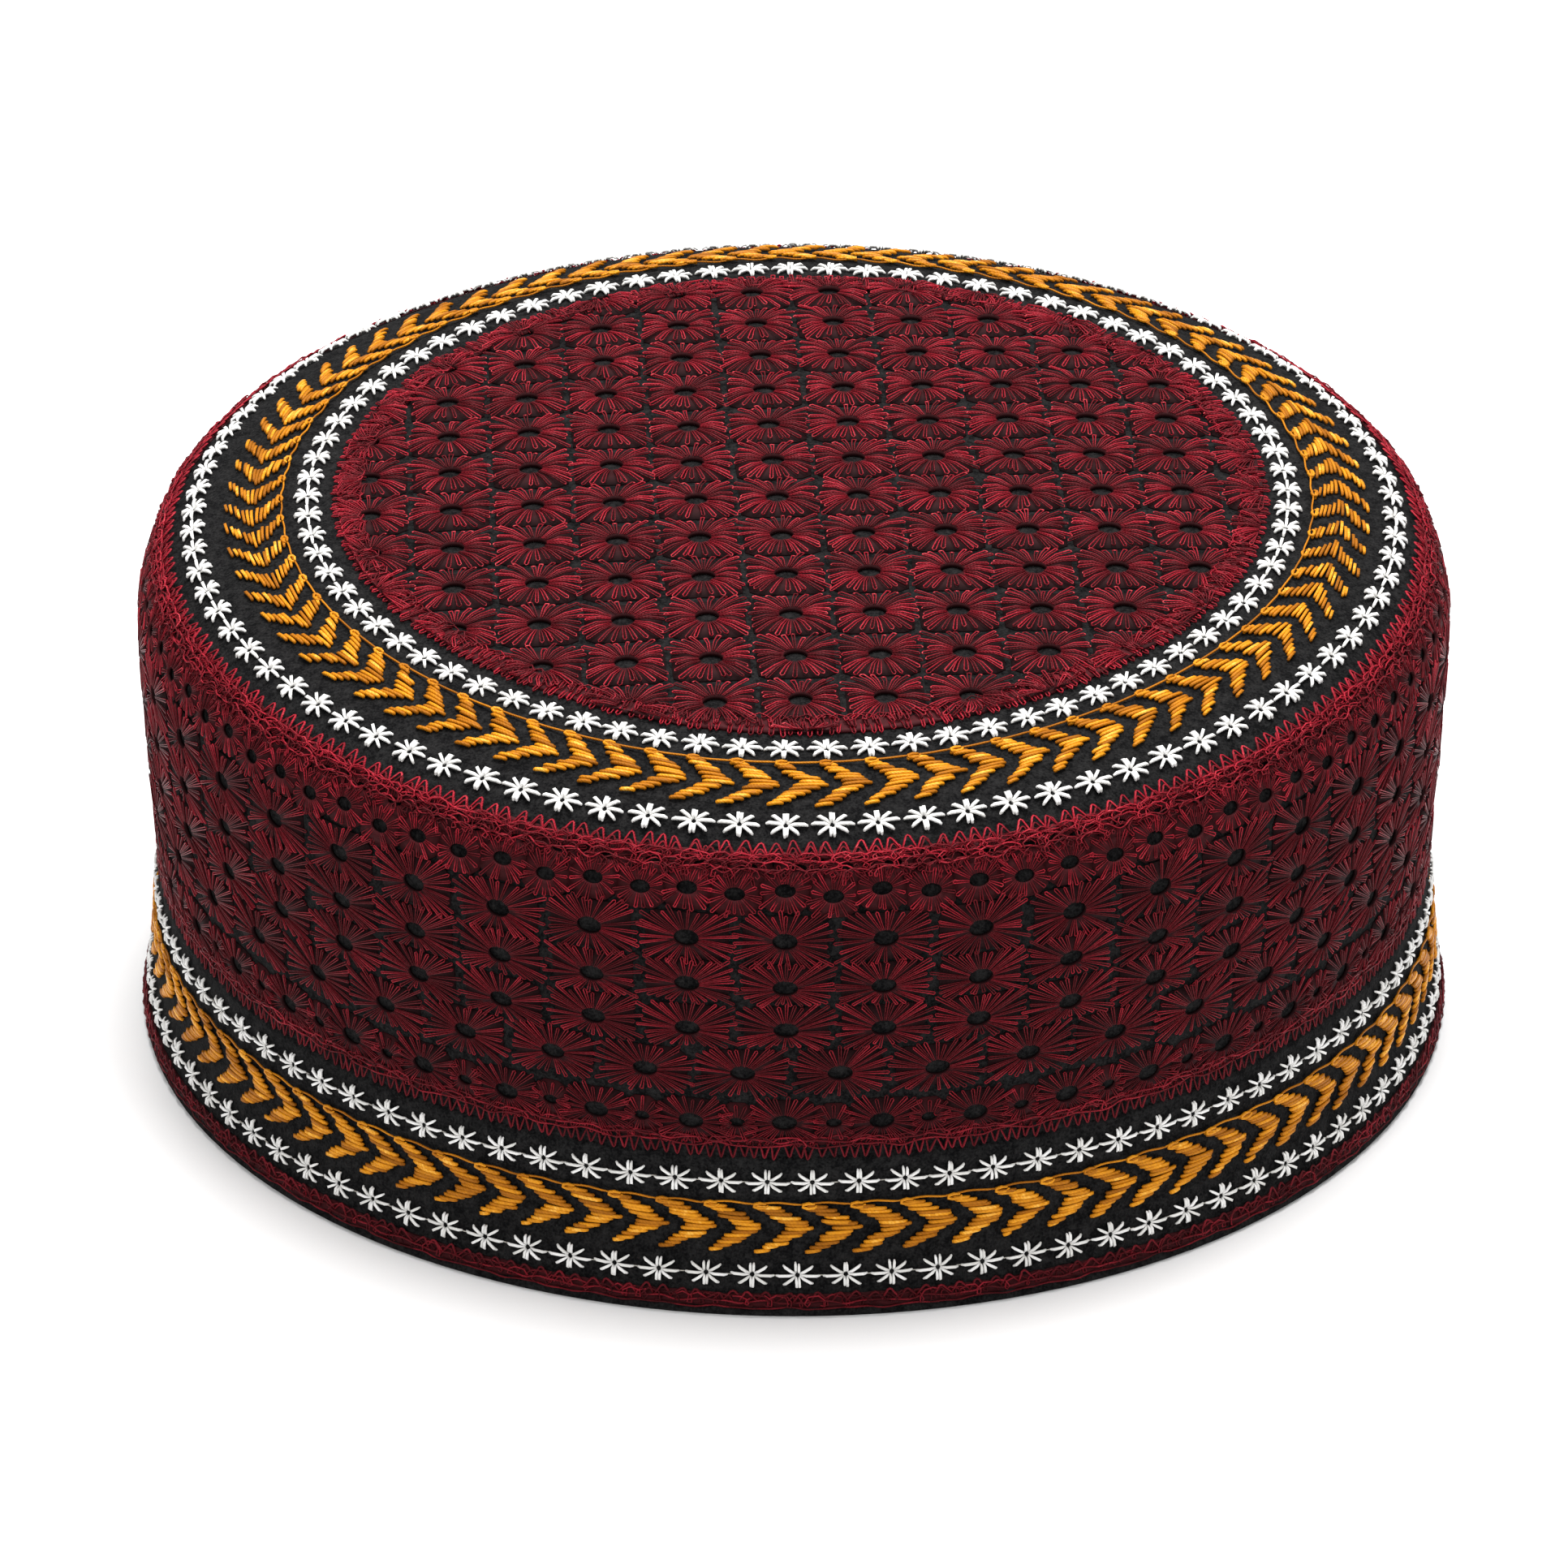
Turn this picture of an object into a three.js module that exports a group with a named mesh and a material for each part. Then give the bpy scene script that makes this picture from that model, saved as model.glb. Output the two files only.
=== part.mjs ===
// Prayer cap: a round cap of stiffened black cloth with a nearly flat crown, a rounded shoulder,
// an upright side and a slightly flared lower band, covered with raised layers of thread work.
// Millimetres, +Z up. The origin is the middle of the rim, on the surface that the cap rests on.
// The front of the cap faces -Y.

import * as THREE from "three";

// Overall form
const crownRadius = 95.0; // widest radius of the cloth, at the shoulder
const crownHeight = 81.6; // height of the crown's middle
const crownRise = 12.4; // how much higher the crown's back edge stands than its front edge
const seamHeight = 60.0; // seam between the crown panel and the side wall, below the shoulder

// Lower band
const bandHeight = 25.0;
const bandTopInset = 0.8; // how far the band's top edge stands inside the crown's widest radius
const rimFlare = 2.3; // how far the rim stands outside it
const bandTopRadius = crownRadius - bandTopInset;
const waistStep = 0.435; // how far the side wall's foot stands inside the band's top edge
const bandMiddleRadius = crownRadius;
const rimRadius = crownRadius + rimFlare;

// Cloth
const crownThickness = 1.6;
const sideThickness = 1.8;
const bandThickness = 2.2;

// Raised thread layers
const layerGap = 0.3; // clear space between a layer and the cloth under it
const seamGap = 0.3; // clear space between two cloth edges that meet
const fieldThickness = 0.9; // maroon embroidery
const chevronThickness = 0.6;
const sideFieldInset = 5.4; // side embroidery's inner edge, inside the crown's widest radius
const blackRingBreadth = 21.4; // black cloth on the crown between the two fields of embroidery
const sideFieldTopRadius = crownRadius - sideFieldInset;
const crownFieldRadius = sideFieldTopRadius - blackRingBreadth;
const sideFieldFoot = 1.0; // black cloth left between the side embroidery and the lower band
const rimEdgingBottom = 1.2;
const rimEdgingTop = 4.1;
const rimEdgingThickness = 0.5;

// Gold chevron rings
const threadWidth = 0.8; // running thread that joins the chevrons
const crownThreadGap = 5.8; // from the crown's embroidery out to the running thread
const crownThreadRadius = crownFieldRadius + crownThreadGap;
const crownChevronBreadth = 8.9; // from the running thread to the tails
const crownChevronCount = 78;
const bandThreadDrop = 6.4; // from the top of the lower band down to its running thread
const bandChevronBreadth = 8.2;
const bandChevronCount = 89;

// Fineness of the turned pieces, and of the search for a place along a profile
const turnSteps = 60;
const placeHalvings = 40;
const leastStep = 0.01; // shortest step along a profile, as a share of its length

// Outer face of the cloth from the crown's middle down to the lower band.
// radius is a share of crownRadius, height a share of the rise from the band's top to the crown's middle.
const capSections = [
  { radius: 0.0, height: 1.0 },
  { radius: 0.42, height: 0.993 },
  { radius: 0.747, height: 0.97 },
  { radius: 0.842, height: 0.945 },
  { radius: 0.913, height: 0.913 },
  { radius: 0.962, height: 0.862 },
  { radius: 0.988, height: 0.792 },
  { radius: 1.0, height: 0.684 },
  { radius: 0.995, height: 0.371 },
  { radius: (bandTopRadius - waistStep) / crownRadius, height: 0.071 },
  { radius: (bandTopRadius - waistStep) / crownRadius, height: 0.0 },
];

// Outer face of the lower band from its top to the rim. height is a share of bandHeight.
const bandSections = [
  { radius: bandTopRadius, height: 1.0 },
  { radius: bandMiddleRadius, height: 0.52 },
  { radius: (bandMiddleRadius + rimRadius) / 2, height: 0.22 },
  { radius: rimRadius, height: 0.0 },
];

// Corners of one chevron. along is a share of the pitch, across a share of the chevrons' breadth.
const crownChevron = [
  { corner: "start", along: 0.0, across: 0.0 },
  { corner: "notch", along: 0.62, across: 0.47 },
  { corner: "tail", along: -0.06, across: 0.96 },
  { corner: "tail end", along: 0.18, across: 1.0 },
  { corner: "apex", along: 1.22, across: 0.5 },
  { corner: "start end", along: 0.46, across: 0.0 },
];
const bandChevron = [
  { corner: "start", along: 0.0, across: 0.0 },
  { corner: "notch", along: 0.76, across: 0.48 },
  { corner: "tail", along: 0.14, across: 0.96 },
  { corner: "tail end", along: 0.38, across: 1.0 },
  { corner: "apex", along: 1.28, across: 0.5 },
  { corner: "start end", along: 0.48, across: 0.0 },
];

const blackCloth = new THREE.MeshStandardMaterial({ color: 0x1c1c1d, roughness: 0.95, metalness: 0 });
const maroonThread = new THREE.MeshStandardMaterial({ color: 0x6b1420, roughness: 0.55, metalness: 0 });
const goldThread = new THREE.MeshStandardMaterial({ color: 0xc98a22, roughness: 0.45, metalness: 0 });

const lean = crownRise / (2 * crownRadius * crownHeight);

// A profile is a smooth curve through its sections, with x the radius and y the height.
function profileThrough(points) {
  return { curve: new THREE.SplineCurve(points), sections: points.length };
}

const capFoot = bandHeight + seamGap;
const capProfile = profileThrough(
  capSections.map(
    ({ radius, height }) => new THREE.Vector2(radius * crownRadius, capFoot + height * (crownHeight - capFoot)),
  ),
);

const bandProfile = profileThrough(
  bandSections.map(({ radius, height }) => new THREE.Vector2(radius, height * bandHeight)),
);

// Place along a profile, from 0 to 1, where a test that holds at first stops holding.
function lastPlace(holdsAt, end) {
  let low = 0;
  let high = end;
  for (let halving = 0; halving < placeHalvings; halving += 1) {
    const middle = (low + high) / 2;
    if (holdsAt(middle)) {
      low = middle;
    } else {
      high = middle;
    }
  }
  return low;
}

// Place where a falling profile reaches a height.
function placeAtHeight(profile, height) {
  return lastPlace((place) => profile.curve.getPoint(place).y > height, 1);
}

// Place on the crown at a radius. The radius only grows down to the widest section.
function placeAtRadius(radius) {
  const widest = capSections.findIndex((section) => section.radius === 1.0) / (capSections.length - 1);
  return lastPlace((place) => capProfile.curve.getPoint(place).x < radius, widest);
}

// Point of a profile moved out of the cloth by a distance square to its face. The middle stays on the axis.
function raised(profile, place, distance) {
  const point = profile.curve.getPoint(place);
  const tangent = profile.curve.getTangent(place);
  const isOnAxis = point.x === 0;
  const normal = isOnAxis ? new THREE.Vector2(0, 1) : new THREE.Vector2(-tangent.y, tangent.x);
  return point.addScaledVector(normal, distance);
}

// Places of the profile's sections between two places, with both ends.
function placesBetween(profile, from, to) {
  const steps = profile.sections - 1;
  const inner = [];
  for (let section = 0; section <= steps; section += 1) {
    const place = section / steps;
    if (place > from + leastStep && place < to - leastStep) {
      inner.push(place);
    }
  }
  return [from, ...inner, to];
}

// Leans the cap: heights grow towards the back, and the rim stays flat on its surface.
function leaned(geometry) {
  const positions = geometry.getAttribute("position");
  for (let index = 0; index < positions.count; index += 1) {
    positions.setZ(index, positions.getZ(index) * (1 + lean * positions.getY(index)));
  }
  geometry.computeVertexNormals();
  return geometry;
}

// Closed turned wall that follows a profile between two places, from one distance to another off its face.
function turnedLayer(profile, from, to, innerDistance, outerDistance) {
  const places = placesBetween(profile, from, to);
  const outer = places.map((place) => raised(profile, place, outerDistance)).reverse();
  const inner = places.map((place) => raised(profile, place, innerDistance));
  const section = from > 0 ? [...outer, ...inner, outer[0].clone()] : [...inner, ...outer];
  const geometry = new THREE.LatheGeometry(section, turnSteps);
  geometry.rotateX(Math.PI / 2);
  return leaned(geometry);
}

// Flat outline of a chevron ring: radius 0 of the strip is the running thread's edge.
function chevronOutline(corners, count, baseRadius, breadth) {
  const pitch = (2 * Math.PI) / count;
  const polar = (angle, radius) => new THREE.Vector2(radius * Math.cos(angle), radius * Math.sin(angle));
  const outline = [];
  const hole = [];
  for (let unit = 0; unit < count; unit += 1) {
    hole.push(polar(unit * pitch, baseRadius));
    for (const { along, across } of corners) {
      const radius = baseRadius + threadWidth + across * (breadth - threadWidth);
      outline.push(polar((unit + along) * pitch, radius));
    }
  }
  const shape = new THREE.Shape(outline);
  shape.holes.push(new THREE.Path(hole));
  return shape;
}

// Chevron ring laid on a profile. placeOf gives the place for a distance across the ring.
function chevronRing(profile, corners, count, baseRadius, breadth, placeOf) {
  const shape = chevronOutline(corners, count, baseRadius, breadth);
  const geometry = new THREE.ExtrudeGeometry(shape, { depth: chevronThickness, bevelEnabled: false });
  const positions = geometry.getAttribute("position");
  for (let index = 0; index < positions.count; index += 1) {
    const angle = Math.atan2(positions.getY(index), positions.getX(index));
    const across = Math.hypot(positions.getX(index), positions.getY(index)) - baseRadius;
    const point = raised(profile, placeOf(across), layerGap + positions.getZ(index));
    positions.setXYZ(index, point.x * Math.cos(angle), point.x * Math.sin(angle), point.y);
  }
  return leaned(geometry);
}

function named(name, geometry, material) {
  const mesh = new THREE.Mesh(geometry, material);
  mesh.name = name;
  return mesh;
}

// Places that the pieces share
const seamPlace = placeAtHeight(capProfile, seamHeight + seamGap / 2);
const wallTopPlace = placeAtHeight(capProfile, seamHeight - seamGap / 2);
const sideFieldTopPlace = placeAtRadius(sideFieldTopRadius);
const sideFieldBottomPlace = placeAtHeight(capProfile, bandHeight + seamGap + sideFieldFoot);
const crownFieldEdgePlace = placeAtRadius(crownFieldRadius);

// Cloth body
const crownCloth = turnedLayer(capProfile, 0, seamPlace, -crownThickness, 0);
const crownPanel = named("crown_panel", crownCloth, blackCloth);
const sideCloth = turnedLayer(capProfile, wallTopPlace, 1, -sideThickness, 0);
const sideWall = named("side_wall", sideCloth, blackCloth);

// The lower band is turned from its own outline, whose rim is cut flat to rest on a surface.
function lowerBandGeometry() {
  const outer = bandProfile.curve.points.map((point) => point.clone()).reverse();
  const inner = bandProfile.curve.points.map((point) => new THREE.Vector2(point.x - bandThickness, point.y));
  const geometry = new THREE.LatheGeometry([...outer, ...inner, outer[0].clone()], turnSteps);
  geometry.rotateX(Math.PI / 2);
  return leaned(geometry);
}
const lowerBand = named("lower_band", lowerBandGeometry(), blackCloth);

// Maroon embroidery
const fieldOuter = layerGap + fieldThickness;
const crownField = named(
  "crown_field",
  turnedLayer(capProfile, 0, crownFieldEdgePlace, layerGap, fieldOuter),
  maroonThread,
);
const sideField = named(
  "side_field",
  turnedLayer(capProfile, sideFieldTopPlace, sideFieldBottomPlace, layerGap, fieldOuter),
  maroonThread,
);
const rimEdging = named(
  "rim_edging",
  turnedLayer(
    bandProfile,
    placeAtHeight(bandProfile, rimEdgingTop),
    placeAtHeight(bandProfile, rimEdgingBottom),
    layerGap,
    layerGap + rimEdgingThickness,
  ),
  maroonThread,
);

// Gold chevrons
const crownChevrons = named(
  "crown_chevrons",
  chevronRing(
    capProfile,
    crownChevron,
    crownChevronCount,
    crownThreadRadius,
    crownChevronBreadth,
    (across) => placeAtRadius(crownThreadRadius + across),
  ),
  goldThread,
);
const bandThreadHeight = bandHeight - bandThreadDrop;
const bandChevrons = named(
  "band_chevrons",
  chevronRing(
    bandProfile,
    bandChevron,
    bandChevronCount,
    bandMiddleRadius,
    bandChevronBreadth,
    (across) => placeAtHeight(bandProfile, bandThreadHeight - across),
  ),
  goldThread,
);

const cap = new THREE.Group();
cap.add(crownPanel, sideWall, lowerBand, crownField, sideField, rimEdging, crownChevrons, bandChevrons);

export default cap;
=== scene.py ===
"""Prayer cap: stiffened black cloth under raised maroon, gold and white thread work.

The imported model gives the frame. Lengths are millimetres, and every mesh is made in metres.
Patterns are laid on the cap's own profile, so each thread lies on the cloth that carries it.
"""

from __future__ import annotations

import logging
import math
from dataclasses import dataclass, field, replace
from enum import Enum
from functools import cached_property
from typing import Any, Union

import bpy
import numpy as np
from mathutils import Matrix, Vector

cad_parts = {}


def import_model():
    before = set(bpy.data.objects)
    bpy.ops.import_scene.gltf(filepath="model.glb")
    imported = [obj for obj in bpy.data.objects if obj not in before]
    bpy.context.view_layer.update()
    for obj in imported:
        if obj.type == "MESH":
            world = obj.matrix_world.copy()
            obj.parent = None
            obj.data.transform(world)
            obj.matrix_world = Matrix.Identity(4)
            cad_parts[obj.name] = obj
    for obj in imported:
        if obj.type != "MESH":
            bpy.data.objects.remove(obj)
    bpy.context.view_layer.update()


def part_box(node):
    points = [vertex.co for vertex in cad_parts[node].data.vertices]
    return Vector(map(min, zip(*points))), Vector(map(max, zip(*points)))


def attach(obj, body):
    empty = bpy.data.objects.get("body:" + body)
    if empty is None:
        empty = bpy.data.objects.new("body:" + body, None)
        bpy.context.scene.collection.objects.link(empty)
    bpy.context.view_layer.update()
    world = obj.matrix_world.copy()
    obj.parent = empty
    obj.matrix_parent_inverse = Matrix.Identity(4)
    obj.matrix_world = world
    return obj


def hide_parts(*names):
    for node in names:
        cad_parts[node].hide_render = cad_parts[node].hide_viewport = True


LOG = logging.getLogger("prayer_cap")

MM = 0.001
BODY = "root"
TURN = 2 * math.pi
FRONT = -math.pi / 2

# Sizes that several patterns share, in millimetres
FIELD_CENTRE = (1.0, -1.8)
CROWN_PUSH = 2.4
FOOT_LIFT = -0.1

# How sharply the crown rings come back out at the very front
FRONT_SHARPNESS = 6

# Places worked out on a flower's outline
OUTLINE_STEPS = 720

Pair = tuple[float, float]
Triple = tuple[float, float, float]
Colour = Triple
Array = np.ndarray
Laid = tuple[Array, Array]
Outline = list[Pair]
Value = Union["Signal", float, tuple]


class Slot(Enum):
    """Material slots."""

    BLACK_CLOTH = "black_cloth"
    MAROON_THREAD = "maroon_thread"
    GOLD_THREAD = "gold_thread"
    WHITE_THREAD = "white_thread"


class Signal:
    """A value inside a material. Each operator adds the Math node that works it out."""

    def __init__(self, shader: Shader, socket: bpy.types.NodeSocket) -> None:
        """Wrap one output socket of a shader."""
        self.shader = shader
        self.socket = socket

    def _math(self, operation: str, *terms: Value) -> Signal:
        """Return the result of a Math node on the terms."""
        return self.shader.node("ShaderNodeMath", {"operation": operation}, dict(enumerate(terms)))

    def __add__(self, other: Value) -> Signal:
        """Return self + other."""
        return self._math("ADD", self, other)

    def __radd__(self, other: Value) -> Signal:
        """Return other + self."""
        return self._math("ADD", other, self)

    def __rsub__(self, other: Value) -> Signal:
        """Return other - self."""
        return self._math("SUBTRACT", other, self)

    def __mul__(self, other: Value) -> Signal:
        """Return self * other."""
        return self._math("MULTIPLY", self, other)

    def __rmul__(self, other: Value) -> Signal:
        """Return other * self."""
        return self._math("MULTIPLY", other, self)

    def sine(self) -> Signal:
        """Return the sine of the value, in radians."""
        return self._math("SINE", self)


class Shader:
    """A material's node tree, with one principled surface."""

    def __init__(self, name: str) -> None:
        """Start an empty material of this name."""
        self.material = bpy.data.materials.new(name)
        self.material.use_nodes = True
        self.tree = self.material.node_tree
        self.tree.nodes.clear()

    def node(
        self, kind: str, settings: dict[str, Any], inputs: dict[Any, Value], output: int | str = 0
    ) -> Signal:
        """Add a node.

        Args:
            kind: The node's type name.
            settings: Properties to set first. "stops" fills a colour ramp with (position, colour) pairs.
            inputs: Socket name or index, with a value or a Signal to link.
            output: Index or name of the output to return.

        Returns:
            The chosen output.
        """
        made = self.tree.nodes.new(kind)
        for key, value in settings.items():
            if key == "stops":
                self._fill_ramp(made.color_ramp, value)
            else:
                setattr(made, key, value)
        for key, value in inputs.items():
            if isinstance(value, Signal):
                self.tree.links.new(value.socket, made.inputs[key])
            else:
                made.inputs[key].default_value = value
        return Signal(self, made.outputs[output] if made.outputs else None)

    @staticmethod
    def _fill_ramp(ramp: bpy.types.ColorRamp, stops: list[tuple[float, Colour]]) -> None:
        """Give a ramp these stops, in rising order."""
        while len(ramp.elements) > 1:
            ramp.elements.remove(ramp.elements[-1])
        for index, (position, colour) in enumerate(stops):
            element = ramp.elements[0] if index == 0 else ramp.elements.new(position)
            element.position = position
            element.color = (*colour, 1.0)

    def place(self) -> Signal:
        """Return the object's own coordinates, in metres."""
        return self.node("ShaderNodeTexCoord", {}, {}, "Object")

    def noise(self, scale: float, detail: float) -> Signal:
        """Return noise from 0 to 1 at a scale in features to the metre."""
        return self.node(
            "ShaderNodeTexNoise",
            {"noise_dimensions": "3D"},
            {"Vector": self.place(), "Scale": scale, "Detail": detail, "Roughness": 0.6},
        )

    def attribute(self, name: str) -> Signal:
        """Return a number that the mesh holds at each point."""
        return self.node("ShaderNodeAttribute", {"attribute_name": name}, {}, "Fac")

    def ramp(self, level: Value, stops: list[tuple[float, Colour]]) -> Signal:
        """Return a colour for a level from 0 to 1."""
        return self.node("ShaderNodeValToRGB", {"stops": stops}, {"Fac": level})

    def bump(self, height: Value, strength: float, distance: float) -> Signal:
        """Return a normal bumped by a height of at most distance metres."""
        inputs = {"Strength": strength, "Distance": distance, "Height": height}
        return self.node("ShaderNodeBump", {}, inputs)

    def surface(self, inputs: dict[str, Value]) -> bpy.types.Material:
        """Finish the material with a principled surface of these inputs."""
        principled = self.node("ShaderNodeBsdfPrincipled", {}, inputs)
        self.node("ShaderNodeOutputMaterial", {}, {"Surface": principled})
        return self.material


@dataclass(frozen=True)
class FeltFinish:
    """Matte black cloth with short fibres."""

    name: str = "black_felt"
    slot: Slot = Slot.BLACK_CLOTH
    deep: Colour = (0.0022, 0.0022, 0.0025)
    worn: Colour = (0.0175, 0.0170, 0.0170)
    deep_level: float = 0.41
    worn_level: float = 0.62
    fibre_scale: float = 2600.0
    tuft_scale: float = 620.0
    nap: float = 0.35

    def build(self) -> bpy.types.Material:
        """Return the cloth's material."""
        shader = Shader(self.name)
        fibres = shader.noise(self.fibre_scale, 4.0)
        tufts = shader.noise(self.tuft_scale, 3.0)
        level = 0.55 * fibres + 0.45 * tufts
        colour = shader.ramp(level, [(self.deep_level, self.deep), (self.worn_level, self.worn)])
        normal = shader.bump(0.6 * fibres + 0.4 * tufts, 1.0, self.nap * MM)
        return shader.surface({
            "Base Color": colour,
            "Roughness": 0.82 + 0.16 * tufts,
            "Normal": normal,
            "Specular IOR Level": 0.06,
            "Sheen Weight": 0.008,
            "Sheen Roughness": 0.4,
        })


@dataclass(frozen=True)
class ThreadFinish:
    """Twisted embroidery thread, whose colour follows the tone that each point holds: each thread's own
    random tone, with painted shade and painted highlights laid on it.
    """

    name: str
    slot: Slot
    shadow: Colour
    middle: Colour
    light: Colour
    glint: Colour
    roughness: float = 0.34
    shine: float = 0.12
    grain_scale: float = 1500.0
    twist: float = 2.2
    twist_depth: float = 0.05

    def build(self) -> bpy.types.Material:
        """Return the thread's material."""
        shader = Shader(self.name)
        strand = shader.node("ShaderNodeUVMap", {"uv_map": "strand"}, {})
        along = shader.node("ShaderNodeSeparateXYZ", {}, {0: strand}, "X")
        around = shader.node("ShaderNodeSeparateXYZ", {}, {0: strand}, "Y")
        ply = (TURN * (self.twist * along + 2.0 * around)).sine()
        grain = shader.noise(self.grain_scale, 2.0)
        # The ply's twist raises the level on its ridges and lowers it in its grooves, as the bump does:
        # painted shade in the grooves.
        level = shader.attribute("tone") * (0.72 + 0.56 * grain) + 0.04 * ply
        # The ramp paints light into the base colour: its shadow stop is painted shade as well as the
        # darkest thread tone, and its glint stop is a painted highlight.
        colour = shader.ramp(
            level, [(0.0, self.shadow), (0.45, self.middle), (0.84, self.light), (1.0, self.glint)]
        )
        return shader.surface({
            "Base Color": colour,
            "Roughness": self.roughness + 0.45 * (1.0 - level) * (1.0 - level),
            "Normal": shader.bump(0.5 + 0.5 * ply, 0.5, self.twist_depth * MM),
            "Specular IOR Level": self.shine,
        })


@dataclass(frozen=True)
class FloorFinish:
    """Plain pale studio floor."""

    name: str = "pale_floor"
    colour: Colour = (0.86, 0.86, 0.86)

    def build(self) -> bpy.types.Material:
        """Return the floor's material."""
        shader = Shader(self.name)
        grain = shader.noise(40.0, 2.0)
        dull = tuple(0.985 * part for part in self.colour)
        bright = shader.ramp(grain, [(0.0, dull), (1.0, self.colour)])
        return shader.surface({"Base Color": bright, "Roughness": 0.6, "Specular IOR Level": 0.2})


# Each thread's colours: shadow, middle, light, and a glint colour that paints highlights into the base
# colour.
MAROON = ThreadFinish(
    "maroon_satin", Slot.MAROON_THREAD, (0.005, 0.0012, 0.0016), (0.124, 0.0050, 0.0098),
    (0.38, 0.015, 0.030), (0.60, 0.070, 0.085),
)
GOLD = ThreadFinish(
    "gold_satin", Slot.GOLD_THREAD, (0.055, 0.012, 0.001), (0.38, 0.125, 0.003), (0.70, 0.275, 0.010),
    (0.88, 0.46, 0.07), 0.32,
)
WHITE = ThreadFinish(
    "white_satin", Slot.WHITE_THREAD, (0.26, 0.23, 0.19), (0.64, 0.63, 0.60), (0.78, 0.77, 0.75),
    (0.84, 0.83, 0.82),
)


@dataclass(frozen=True)
class Profile:
    """Outer face of the cloth in section, from its inner or upper end downwards, in millimetres."""

    sections: tuple[Pair, ...]
    samples: int = 1200

    @cached_property
    def line(self) -> Array:
        """Return rows of distance along, radius, height, and the outward direction's two parts."""
        knots = np.array(self.sections, float)
        last = len(knots) - 1
        place = np.linspace(0.0, last, self.samples)
        start = np.minimum(place.astype(int), last - 1)
        part = (place - start)[:, None]
        before = knots[np.maximum(start - 1, 0)]
        first = knots[start]
        second = knots[start + 1]
        after = knots[np.minimum(start + 2, last)]
        pull = (second - before) / 2
        push = (after - first) / 2
        points = (
            (2 * first - 2 * second + pull + push) * part**3
            + (-3 * first + 3 * second - 2 * pull - push) * part**2
            + pull * part
            + first
        )
        steps = np.gradient(points, axis=0)
        steps /= np.linalg.norm(steps, axis=1)[:, None]
        along = np.concatenate([[0.0], np.cumsum(np.linalg.norm(np.diff(points, axis=0), axis=1))])
        return np.stack([along, points[:, 0], points[:, 1], -steps[:, 1], steps[:, 0]])

    def read(self, along: Array) -> tuple[Array, Array, Array, Array]:
        """Return the radius, height and outward direction at distances along the profile."""
        line = self.line
        return tuple(np.interp(along, line[0], row) for row in line[1:])

    def at_radius(self, radius: Array) -> Array:
        """Return the distance along at which the profile first has a radius."""
        line = self.line
        widest = int(np.argmax(line[1])) + 1
        return np.interp(radius, line[1][:widest], line[0][:widest])

    def at_height(self, height: Array) -> Array:
        """Return the distance along at which the falling profile has a height."""
        line = self.line
        return np.interp(-np.asarray(height, float), -line[2], line[0])


@dataclass(frozen=True)
class CapForm:
    """The cap's sizes and its leaning profile.

    They repeat the model's own, and check_sizes compares two of them with it.
    """

    crown_radius: float = 95.0
    crown_height: float = 81.6
    crown_rise: float = 12.4
    seam_height: float = 60.0
    band_height: float = 25.0
    band_top_radius: float = 94.2
    band_middle_radius: float = 95.0
    rim_radius: float = 97.3
    crown_thickness: float = 1.6
    side_thickness: float = 1.8
    band_thickness: float = 2.2
    seam_gap: float = 0.3
    shares: tuple[Pair, ...] = (
        (0.0, 1.0), (0.42, 0.993), (0.747, 0.97), (0.842, 0.945), (0.913, 0.913), (0.962, 0.862),
        (0.988, 0.792), (1.0, 0.684), (0.995, 0.371), (0.987, 0.071), (0.987, 0.0), (0.987, -0.006),
    )

    @cached_property
    def cap(self) -> Profile:
        """Return the profile from the crown's middle down to the lower band."""
        foot = self.band_height + self.seam_gap
        rise = self.crown_height - foot
        sections = [(share * self.crown_radius, foot + height * rise) for share, height in self.shares]
        return Profile(tuple(sections))

    @cached_property
    def band(self) -> Profile:
        """Return the lower band's profile from its top to the rim."""
        return Profile((
            (self.band_top_radius, self.band_height),
            (self.band_middle_radius, 0.52 * self.band_height),
            ((self.band_middle_radius + self.rim_radius) / 2, 0.22 * self.band_height),
            (self.rim_radius, 0.0),
        ))

    def leaned(self, points: Array) -> Array:
        """Return points whose heights grow towards the back, as the cap leans."""
        lean = self.crown_rise / (2 * self.crown_radius * self.crown_height)
        moved = np.array(points, float)
        moved[..., 2] *= 1 + lean * moved[..., 1]
        return moved

    def lay(self, profile: Profile, angle: Array, along: Array, lift: Array | float) -> Laid:
        """Lay pattern places on the cap.

        Args:
            profile: The profile that the pattern lies on.
            angle: Angle about the cap's axis, in radians, counter-clockwise from above.
            along: Distance down the profile.
            lift: Distance off the cloth.

        Returns:
            Points and outward directions, with a last axis of three.
        """
        angle, along, lift = np.broadcast_arrays(angle, along, lift)
        radius, height, out_radius, out_height = profile.read(along)
        reach = radius + lift * out_radius
        across, up = np.cos(angle), np.sin(angle)
        points = np.stack([reach * across, reach * up, height + lift * out_height], axis=-1)
        normals = np.stack([out_radius * across, out_radius * up, out_height], axis=-1)
        return self.leaned(points), normals

    def lay_plan(self, x: Array, y: Array, lift: Array | float) -> Laid:
        """Lay places given in plan on the crown."""
        along = self.cap.at_radius(np.hypot(x, y))
        return self.lay(self.cap, np.arctan2(y, x), along, lift)


def pushed(angle: Array, amount: float) -> Array:
    """Return how far a crown ring stands off its circle: out at the back, in at the front's two sides."""
    back = np.sin(angle)
    return amount * (back + np.maximum(0.0, -back) ** FRONT_SHARPNESS)


def unit(vectors: Array) -> tuple[Array, Array]:
    """Return vectors brought to a length of one, and the lengths that they had."""
    length = np.linalg.norm(vectors, axis=-1, keepdims=True)
    return vectors / np.maximum(length, 1e-9), length


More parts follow.
